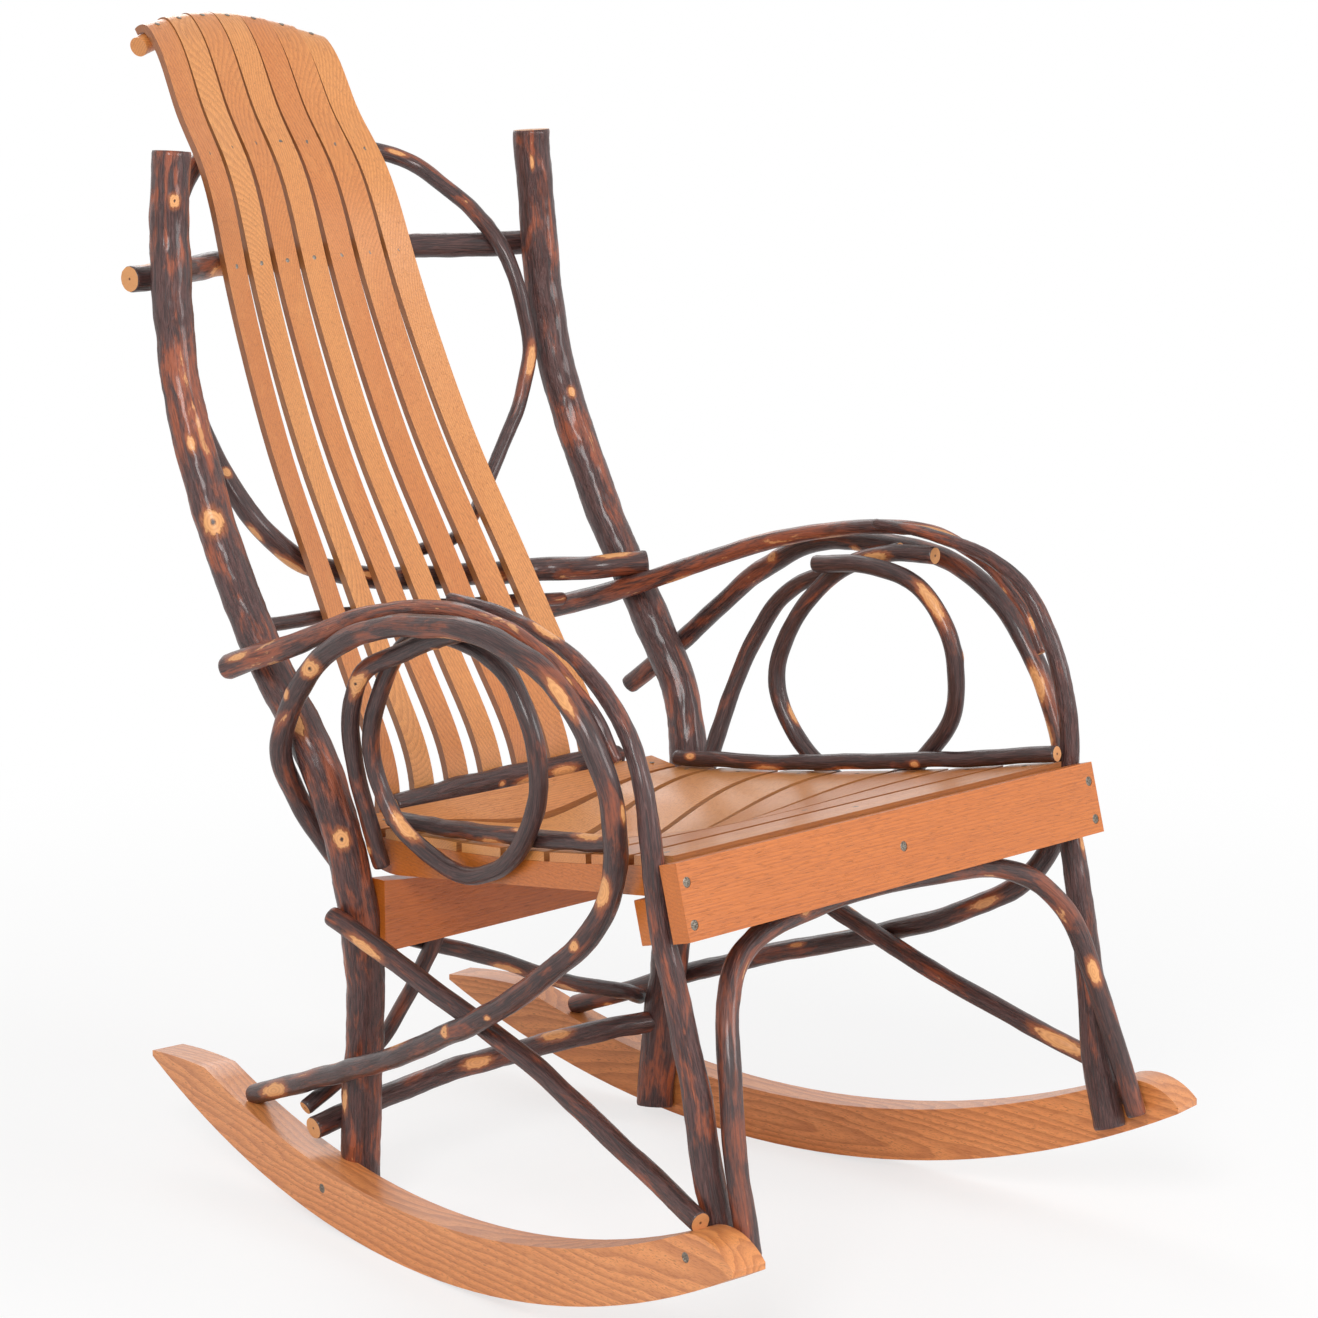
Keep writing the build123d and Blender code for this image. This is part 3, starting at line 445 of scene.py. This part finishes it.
def placeKnots(rng, length, radius, look):                # raised scars of twigs, and flat bare patches
    knots, place = [], look["firstKnot"] * rng.uniform(*knotShape["first"])
    while place < length - knotShape["clearEnd"]:
        isScar = rng.random() < look["scars"]
        long = rng.uniform(*look["scarSize" if isScar else "patchSize"])
        share = rng.uniform(*knotShape["scarWide" if isScar else "patchWide"])
        knots.append({
            "along": place, "angle": rng.uniform(0, 2 * math.pi), "long": long,
            "wide": min(long * share, knotShape["mostWide"] * radius),
            "height": (rng.uniform(*knotShape["scarRise"]) * look["scarHeight"] if isScar
                       else knotShape["patchHeight"]),
            "cored": isScar and rng.random() < knotShape["cored"]})
        place += look["knotGap"] * rng.uniform(*knotShape["gap"])
    return knots


viewer = np.array((-0.69, -0.70, 0.18))                   # the way the chair's best side faces


def placeMarks(line, sides, rises, place, given):         # knots at given points, on the best side
    found = []
    for (x, y, z), long, wide in given:
        ring = np.argmin(np.linalg.norm(line - (x, y + topEdge, z), axis=1))
        angle = math.atan2(viewer @ rises[ring], viewer @ sides[ring])
        found.append({
            "along": place[ring], "angle": angle, "long": long * mm, "wide": wide * mm,
            "height": knotShape["markHeight"], "cored": wide > knotShape["coredWide"] * long})
    return found


def knotFields(knots, place, angle, girth):               # distances to scars and hearts, and the lift
    shape = (len(place), len(angle))
    knotField, coreField = np.full(shape, knotShape["far"]), np.full(shape, knotShape["far"])
    lift = np.zeros(shape)
    for knot in knots:
        turn = (angle - knot["angle"] + math.pi) % (2 * math.pi) - math.pi
        away = np.sqrt(((place - knot["along"]) / knot["long"])[:, None] ** 2
                       + (girth[:, None] * turn[None, :] / knot["wide"]) ** 2)
        knotField = np.minimum(knotField, away)
        if knot["cored"]:
            coreField = np.minimum(coreField, away)
        hump = np.exp(-(away * knotShape["slope"]) ** 2)
        lift += knot["height"] * np.minimum(hump, knotShape["flatTop"])
    return knotField, coreField, lift


def addRidges(shape, place, start, girth, cosine, sine, smooth, look):
    fine = 1 / look["ridgeWidth"]
    for ring in range(len(place)):
        back = start + place[ring] * fine * look["ridgeLength"]
        for spoke in range(len(cosine)):
            spot = (cosine[spoke] * girth[ring] * fine, sine[spoke] * girth[ring] * fine, back)
            bumpy = 1 - 2 * abs(noise.noise(spot))
            shape[ring, spoke] += look["ridge"] * (bumpy - 0.6) * smooth[ring, spoke]


def barkStick(node, look, seed):
    rng = random.Random(seed)
    line, girth = followStick(node)
    line, girth = ease(line), ease(girth[:, None])[:, 0]
    gaps = np.linalg.norm(np.diff(line, axis=0), axis=1)
    run = np.concatenate([[0], np.cumsum(gaps)])
    length, radius = run[-1], girth.mean()
    count = int(length / stickMesh["ringGap"])
    around = max(stickMesh["leastFacets"], int(2 * math.pi * girth.max() / stickMesh["facet"]))
    place = np.linspace(0, length, count)
    line = np.stack([np.interp(place, run, column) for column in line.T], 1)
    girth = np.interp(place, run, girth)
    sides, rises = framesAlong(line)
    fade = np.clip(np.minimum(place, length - place) / stickMesh["fade"], 0, 1)
    wander = look["wander"] * fade
    for across in (sides, rises):
        drift = waves(rng, length, count, *stickMesh["wanderWaves"]) * wander
        line = line + across * drift[:, None]
    swell = look["swell"] * waves(rng, length, count, *stickMesh["swellWaves"])
    girth = girth * (1 + swell * fade)
    angle = np.linspace(0, 2 * math.pi, around, endpoint=False)
    cosine, sine = np.cos(angle), np.sin(angle)
    knots = placeKnots(rng, length, radius, look)
    knots += placeMarks(line, sides, rises, place, marks.get(node, []))
    knotField, coreField, lift = knotFields(knots, place, angle, girth)
    oval = stickMesh["oval"] * np.cos(2 * angle + rng.uniform(0, 6))[None, :]
    shape = girth[:, None] * (1 + oval) + lift
    start = rng.uniform(0, stickMesh["longest"])
    smooth = np.clip(knotField - 0.5, 0, 1)
    addRidges(shape, place, start, girth, cosine, sine, smooth, look)
    shape[0] -= stickMesh["bevel"]
    shape[-1] -= stickMesh["bevel"]
    spots = (line[:, None, :] + sides[:, None, :] * (shape * cosine)[:, :, None]
             + rises[:, None, :] * (shape * sine)[:, :, None])
    if look.get("cutTilt"):                               # its top is sawn toward the best side
        near = np.clip(1 - (length - place) / stickMesh["tiltReach"], 0, 1) * look["cutTilt"]
        reach = (spots - line[:, None, :]) @ viewer
        onward = np.gradient(line, place, axis=0)
        spots -= (near[:, None] * reach)[:, :, None] * onward[:, None, :]
    grain = np.stack([shape * cosine, shape * sine,
                      np.broadcast_to(place[:, None] + start, shape.shape)], 2)
    tones = look["tone"] + look["toneShift"] * waves(rng, length, count, *stickMesh["toneWaves"])
    fields = {"knot": knotField, "core": coreField,
              "tone": np.broadcast_to(tones[:, None], shape.shape),
              "coarse": np.full(shape.shape, look["coarse"])}
    tubeObject(node, spots, grain, fields)


def tubeObject(node, spots, grain, fields):
    count, around = spots.shape[:2]
    verts, grains = [spots.reshape(-1, 3)], [grain.reshape(-1, 3)]
    faces = []
    for ring in range(count - 1):
        first = ring * around
        for spoke in range(around):
            after = (spoke + 1) % around
            beyond = first + around
            faces.append((first + spoke, first + after, beyond + after, beyond + spoke))
    kinds = [0] * len(faces)
    total = count * around
    for last in (False, True):                            # sawn ends, in shrinking rings
        edge = spots[-1 if last else 0]
        middle, place = edge.mean(0), grain[-1 if last else 0]
        before = (count - 1) * around if last else 0
        for ring in range(1, stickMesh["capRings"]):
            share = 1 - ring / stickMesh["capRings"]
            verts.append(middle + (edge - middle) * share)
            grains.append(place * (share, share, 1))
            for spoke in range(around):
                after = (spoke + 1) % around
                quad = (before + spoke, before + after, total + after, total + spoke)
                faces.append(quad if last else quad[::-1])
            before, total = total, total + around
        verts.append(middle[None, :])
        grains.append((place[0] * (0, 0, 1))[None, :])
        for spoke in range(around):
            after = (spoke + 1) % around
            corner = (before + spoke, before + after, total)
            faces.append(corner if last else corner[::-1])
        total += 1
    kinds += [1] * (len(faces) - len(kinds))
    mesh = bpy.data.meshes.new(node + "_bark")
    mesh.from_pydata(np.concatenate(verts).tolist(), [], faces)
    mesh.polygons.foreach_set("material_index", kinds)
    mesh.polygons.foreach_set("use_smooth", [kind == 0 for kind in kinds])
    stamp(mesh, "grain", np.concatenate(grains))
    for name, values in fields.items():
        extra = np.full(total - count * around, knotShape["far"])
        stamp(mesh, name, np.concatenate([values.reshape(-1), extra]))
    work = bmesh.new()
    work.from_mesh(mesh)
    bmesh.ops.recalc_face_normals(work, faces=work.faces)
    work.to_mesh(mesh)
    work.free()
    mesh.materials.append(bark)
    mesh.materials.append(sawnEnd)
    settle(node + "_bark", mesh, node)


def stamp(mesh, name, values):                            # one number or direction on every point
    values = np.asarray(values, dtype=np.float32)
    kind = "FLOAT_VECTOR" if values.ndim == 2 else "FLOAT"
    layer = mesh.attributes.new(name, kind, "POINT")
    layer.data.foreach_set("vector" if values.ndim == 2 else "value", values.ravel())


def settle(name, mesh, node):                       # the piece stands in for its node
    piece = bpy.data.objects.new(name, mesh)
    scene.collection.objects.link(piece)
    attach(piece, "root")
    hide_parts(node)
    return piece


sticks = {
    "back_post_right": {"ridge": 0.8 * mm, "knotGap": 0.16, "tone": 0.42, "coarse": 1.0,
                        "cutTilt": 0.28},
    "back_post_left": {"ridge": 0.8 * mm, "knotGap": 0.2, "tone": 0.26, "coarse": 1.0,
                       "cutTilt": 0.28},
    "front_post": {"ridge": 0.6 * mm, "knotGap": 0.15, "tone": 0.24, "coarse": 0.8},
    "arm_bow": {"knotGap": 0.12, "tone": 0.58, "coarse": 0.6},
    "arm_loop": {"knotGap": 0.085, "tone": 0.3},
    "arm_ring": {"knotGap": 0.12, "tone": 0.15},
    "arm_spindle": {"knotGap": 0.11, "tone": 0.2},
    "side_brace": {"knotGap": 0.10, "tone": 0.25, "coarse": 0.6},
    "seat_side_stick": {"knotGap": 0.07, "tone": 0.1},
    "seat_back_stick": {"ridge": 0.6 * mm, "knotGap": 0.06, "tone": 0.1, "coarse": 0.5},
    "front_arch": {"knotGap": 0.10, "tone": 0.45},
    "rear_stretcher": {"ridge": 0.5 * mm, "knotGap": 0.12, "tone": 0.2, "coarse": 0.7},
    "rear_brace": {"knotGap": 0.12, "tone": 0.25},
    "upper_back_stick": {"ridge": 0.5 * mm, "knotGap": 0.12, "tone": 0.15, "coarse": 0.5},
    "lower_back_stick": {"knotGap": 0.08, "tone": 0.3},
    "back_hoop": {"knotGap": 0.10, "tone": 0.25, "coarse": 0.45},
}
plainStick = {                                            # for what a stick's own line leaves out
    "ridge": 0.3 * mm, "wander": 1.0 * mm, "swell": 0.035, "firstKnot": 0.05, "scars": 0.3,
    "scarSize": (4 * mm, 8 * mm), "patchSize": (9 * mm, 24 * mm), "scarHeight": 1.5 * mm,
    "ridgeWidth": 3.2 * mm, "ridgeLength": 0.12, "toneShift": 0.22, "coarse": 0.35,
}
marks = {                                                 # a point near it; half length, width in mm
    "back_post_right": [((-0.250, 0.652, 0.657), 15, 11), ((-0.250, 0.690, 0.730), 9, 4),
                        ((-0.250, 0.497, 0.502), 16, 6), ((-0.240, 0.464, 0.389), 10, 8)],
    "arm_loop_right": [((-0.309, 0.430, 0.561), 13, 9)],
    "arm_spindle_right": [((-0.277, 0.408, 0.553), 12, 8)],
    "side_brace_left": [((0.276, 0.022, 0.168), 32, 7)],
}


def makeSticks():
    for seed, node in enumerate(sorted(nodes), 11):
        kind = next((key for key in sticks if node.startswith(key)), None)
        if kind:
            barkStick(node, {**plainStick, **sticks[kind]}, seed)


makeSticks()
print("sticks ready")


# oak pieces keep their solid's form, with eased edges and a little life in the faces
boardMesh = {
    "sharp": 35, "flat": 0.2, "weld": 0.01 * mm, "bevelSteps": 3,          # angles in degrees
    "pithAside": (0.02, 0.08), "pithBelow": (0.005, 0.05), "longest": 40.0,
    # a face that counts as a side gets painted shade
    "sideRise": 2.5, "sideStart": 1.2,                    # how soon a face counts as a side
}
boards = {
    # sides is how much painted shade the side faces of a slat get
    "back_slat": {"along": (0, 0.7, 0.85), "across": (1, 0, 0), "ease": 1.4 * mm, "sides": 0.7},
    "seat_slat": {"along": (1, 0, 0), "across": (0, 1, 0.15), "ease": 1.4 * mm, "sides": 0.6},
    "front_board": {"along": (1, 0, 0), "across": (0, -0.25, 0.97), "ease": 2.0 * mm},
    "front_under_rail": {"along": (1, 0, 0), "across": (0, -0.25, 0.97), "ease": 1.0 * mm},
    "rear_board": {"along": (1, 0, 0), "across": (0, 0, 1), "ease": 1.2 * mm},
    "side_rail": {"along": (0, 1, 0), "across": (0, 0, 1), "ease": 1.2 * mm},
    "centre_rail": {"along": (0, 1, 0), "across": (0, 0, 1), "ease": 1.0 * mm},
    "runner": {"along": (0, 1, 0), "across": (0, 0, 1), "ease": 3.0 * mm},
    "crest_rail": {"along": (1, 0, 0), "across": (0, 1, 0), "ease": 0.8 * mm},
}


def easedMesh(node, ease):
    work = bmesh.new()
    work.from_mesh(nodes[node].data)
    bmesh.ops.remove_doubles(work, verts=work.verts, dist=boardMesh["weld"])
    bmesh.ops.dissolve_limit(work, angle_limit=math.radians(boardMesh["flat"]),
                             verts=work.verts, edges=work.edges)
    corner = math.radians(boardMesh["sharp"])
    edges = [edge for edge in work.edges
             if len(edge.link_faces) == 2 and edge.calc_face_angle(0) > corner]
    bmesh.ops.bevel(work, geom=edges, offset=ease, offset_type="OFFSET", profile=0.5,
                    segments=boardMesh["bevelSteps"], affect="EDGES", clamp_overlap=True)
    mesh = bpy.data.meshes.new(node + "_oak")
    work.to_mesh(mesh)
    work.free()
    return mesh


def oakBoard(node, look, seed):
    rng = random.Random(seed)
    mesh = easedMesh(node, look["ease"])
    spots = np.empty(len(mesh.vertices) * 3)
    mesh.vertices.foreach_get("co", spots)
    spots = spots.reshape(-1, 3)
    across, along = np.array(look["across"]), np.array(look["along"])
    third = np.cross(along, across)
    middle = (spots.min(0) + spots.max(0)) / 2
    aside = rng.uniform(*boardMesh["pithAside"]) * rng.choice((-1, 1))
    below = rng.uniform(*boardMesh["pithBelow"])
    start = rng.uniform(0, boardMesh["longest"])
    grain = np.stack([(spots - middle) @ across + aside, (spots - middle) @ third + below,
                      spots @ along + start], 1)
    stamp(mesh, "grain", grain)
    stamp(mesh, "lot", np.full(len(spots), rng.random()))
    # painted shade: faces that turn across the board, the slats' sides in their narrow gaps, get a
    # darkening share
    facing = np.empty(len(spots) * 3)
    mesh.vertex_normals.foreach_get("vector", facing)
    sideways = abs(facing.reshape(-1, 3) @ (across / np.linalg.norm(across)))
    shade = np.clip(sideways * boardMesh["sideRise"] - boardMesh["sideStart"], 0, 1)
    stamp(mesh, "wearAndPaintedShade", look.get("sides", 0.0) * shade)
    mesh.polygons.foreach_set("use_smooth", [True] * len(mesh.polygons))
    slot = slotOf(node)
    mesh.materials.append(oaks.get(slot, oaks["oak_slat"]))
    piece = settle(node + "_oak", mesh, node)
    soften = piece.modifiers.new("faces", "WEIGHTED_NORMAL")
    soften.keep_sharp = True


def slotOf(node):
    return next(item["material_slot"] for item in frame["record"]["subparts"] if item["node"] == node)


def makeBoards():
    for seed, node in enumerate(sorted(nodes), 101):
        kind = next((key for key in boards if node.startswith(key)), None)
        if kind and not node.endswith(("nails", "screws")):
            oakBoard(node, boards[kind], seed)


makeBoards()
print("boards ready")


# nails and screws: a domed or crossed head on a plain shank
heads = {
    "back_slat_nails": {"crossed": False}, "seat_slat_nails": {"crossed": False},
    "board_screws": {"crossed": True}, "runner_screws": {"crossed": True},
}
headMesh = {
    "rings": 9, "spokes": 40, "dome": 0.12, "rim": 0.98,
    "slot": 0.17, "slotReach": 0.62, "slotDepth": 0.9 * mm, "slotRise": 0.6,
    "tip": 0.4, "tipLength": 0.1 * mm, "astray": (0.3, 0.5, 0.81),
}


def loosePieces(node):
    work = bmesh.new()
    work.from_mesh(nodes[node].data)
    bmesh.ops.remove_doubles(work, verts=work.verts, dist=weld)
    seen, pieces = set(), []
    for start in work.verts:
        if start in seen:
            continue
        seen.add(start)
        heap, members = [start], []
        while heap:
            vert = heap.pop()
            members.append(tuple(vert.co))
            for edge in vert.link_edges:
                other = edge.other_vert(vert)
                if other not in seen:
                    seen.add(other)
                    heap.append(other)
        pieces.append(np.array(members))
    work.free()
    return pieces


def headAndShank(corners, look, turn):
    centre = (corners.min(0) + corners.max(0)) / 2
    axis = np.linalg.svd(corners - corners.mean(0), full_matrices=False)[2][0]
    depth = (corners - centre) @ axis
    reach = np.linalg.norm(corners - centre - np.outer(depth, axis), axis=1)
    if depth[reach.argmax()] < 0:                         # the axis points out through the head
        axis, depth = -axis, -depth
    radius, shank = reach.max(), reach[depth < 0].max()
    under = depth[reach > headMesh["rim"] * radius].min()
    side = np.cross(axis, headMesh["astray"])
    side /= np.linalg.norm(side)
    rise = np.cross(axis, side)
    profile = [(share * radius, None) for share in np.linspace(0, 1, headMesh["rings"] + 1)[1:]]
    profile += [(radius, under), (shank, under), (shank, depth.min()),
                (shank * headMesh["tip"], depth.min() + headMesh["tipLength"])]
    angles = np.linspace(0, 2 * math.pi, headMesh["spokes"], endpoint=False) + turn
    verts = [centre + axis * (depth.max() - (headMesh["slotDepth"] if look["crossed"] else 0))]
    for out, level in profile:
        for angle in angles:
            height = level
            if level is None:
                height = depth.max() - headMesh["dome"] * out ** 2 / radius
                if look["crossed"]:
                    height -= slotDepth(angle - turn, out, radius)
            verts.append(centre + side * math.cos(angle) * out + rise * math.sin(angle) * out
                         + axis * height)
    around, faces = len(angles), []
    for spoke in range(around):
        after = (spoke + 1) % around
        faces.append((0, 1 + spoke, 1 + after))
        for ring in range(len(profile) - 1):
            first = 1 + ring * around
            beyond = first + around
            faces.append((first + spoke, beyond + spoke, beyond + after, first + after))
    last = 1 + (len(profile) - 1) * around
    faces.append([last + spoke for spoke in range(around)][::-1])
    return np.array(verts), faces


def slotDepth(angle, out, radius):                        # of the cross, at a place on the head
    aside = min(abs(math.cos(angle)), abs(math.sin(angle))) * out
    if aside < headMesh["slot"] * radius and out < headMesh["slotReach"] * radius:
        return headMesh["slotDepth"] * (1 - headMesh["slotRise"] * out / radius)
    return 0


def makeHeads():
    for seed, (node, look) in enumerate(heads.items(), 5):
        rng = random.Random(seed)
        verts, faces = [], []
        for corners in loosePieces(node):
            spots, sides = headAndShank(corners, look, rng.uniform(0, math.pi))
            start = sum(len(part) for part in verts)
            verts.append(spots)
            faces += [[start + corner for corner in side] for side in sides]
        mesh = bpy.data.meshes.new(node + "_steel")
        mesh.from_pydata(np.concatenate(verts).tolist(), [], faces)
        stamp(mesh, "grain", np.concatenate(verts))
        mesh.materials.append(steel)
        settle(node + "_steel", mesh, node)


makeHeads()
print("nails and screws ready")


# studio
studio = {
    "floor": paint(246, 246, 246), "floorSize": 40.0,
    "speck": (0.8, 0.8, 0.8, 1), "specks": 900.0, "speckShare": 0.03,
    "clear": (0.70, 1.0), "clearReach": (0.7, 2.2),       # share of pure white near and far, and where
    "world": 0.55, "aim": (0, 0, 0.5),
    "lamps": {
        "keyLamp": {"place": (-3.2, -2.2, 2.8), "size": 1.6, "power": 92},
        "fillLamp": {"place": (1.2, -3.6, 2.0), "size": 1.8, "power": 58},
        "backLamp": {"place": (1.5, 3.0, 2.8), "size": 2.2, "power": 34},
    },
}


def floorMaterial():                                      # white to the camera, keeps a light shadow
    material, wire, shader = newMaterial("paleFloor", {"Roughness": 0.9, "Specular IOR Level": 0.0})
    seen = wire.make("ShaderNodeLightPath", out="Is Camera Ray")
    place = wire.make("ShaderNodeNewGeometry", out="Position")
    speck = wire.noise(place, studio["specks"], 2.0, 0.5) * studio["speckShare"]
    plug(speck.blend(studio["floor"], studio["speck"]), shader, "Base Color")
    near, far = studio["clear"]
    share = seen * (near + place.length().step(*studio["clearReach"]) * (far - near))
    glow = wire.make("ShaderNodeEmission", {}, {"Color": (1, 1, 1, 1)})
    plain = Wire(wire.tree, shader.outputs[0])
    mixed = wire.make("ShaderNodeMixShader", {}, {0: share, 1: plain, 2: glow})
    plug(mixed, wire.tree.nodes["Material Output"], "Surface")
    return material


def makeFloor():
    mesh = bpy.data.meshes.new("floor")
    half = studio["floorSize"] / 2
    corners = [(-half, -half, 0), (half, -half, 0), (half, half, 0), (-half, half, 0)]
    mesh.from_pydata(corners, [], [(0, 1, 2, 3)])
    floor = bpy.data.objects.new("floor", mesh)
    scene.collection.objects.link(floor)
    mesh.materials.append(floorMaterial())


def makeLamps():
    for name, look in studio["lamps"].items():
        lamp = bpy.data.lights.new(name, "AREA")
        lamp.shape, lamp.size, lamp.energy = "DISK", look["size"], look["power"]
        holder = bpy.data.objects.new(name, lamp)
        scene.collection.objects.link(holder)
        holder.location = look["place"]
        holder.rotation_mode = "QUATERNION"
        toward = Vector(studio["aim"]) - Vector(look["place"])
        holder.rotation_quaternion = toward.to_track_quat("-Z", "Y")


def makeWorld():                                          # plain white to the eye and in reflections
    world = bpy.data.worlds.new("studioWorld")
    scene.world = world
    world.use_nodes = True
    air, ground = Wire(world.node_tree), world.node_tree.nodes["Background"]
    seen = air.make("ShaderNodeLightPath", out="Is Camera Ray")
    glossy = air.make("ShaderNodeLightPath", out="Is Glossy Ray")
    ground.inputs["Color"].default_value = (1, 1, 1, 1)
    plug(seen.larger(glossy) * (1 - studio["world"]) + studio["world"], ground, "Strength")
    scene.view_settings.view_transform = "Standard"


# camera
lens = {
    "place": (-2.2482, -1.9072, 1.1174), "azimuth": -45.59, "elevation": 10.29, "roll": -0.075,
    "focal": 3400.3, "frame": 1318,                       # in pixels of the frame's width
    "sensor": 36.0,                                       # in mm
    "near": 0.05, "far": 60,
}


def makeCamera():
    camera = bpy.data.cameras.new("camera")
    camera.sensor_fit, camera.sensor_width = "HORIZONTAL", lens["sensor"]
    camera.lens = lens["sensor"] * lens["focal"] / lens["frame"]
    holder = bpy.data.objects.new("camera", camera)
    scene.collection.objects.link(holder)
    turn, rise = math.radians(lens["azimuth"]), math.radians(lens["elevation"])
    level = math.cos(rise)
    back = Vector((math.sin(turn) * level, -math.cos(turn) * level, math.sin(rise)))
    side = Vector((math.cos(turn), math.sin(turn), 0))
    facing = Matrix((side, back.cross(side), back)).transposed()
    place = Vector(lens["place"]) + Vector((0, topEdge, 0))
    roll = Matrix.Rotation(math.radians(lens["roll"]), 4, "Z")
    holder.matrix_world = Matrix.Translation(place) @ facing.to_4x4() @ roll
    camera.clip_start, camera.clip_end = lens["near"], lens["far"]
    scene.camera = holder


makeFloor()
makeLamps()
makeWorld()
makeCamera()
print("studio ready")
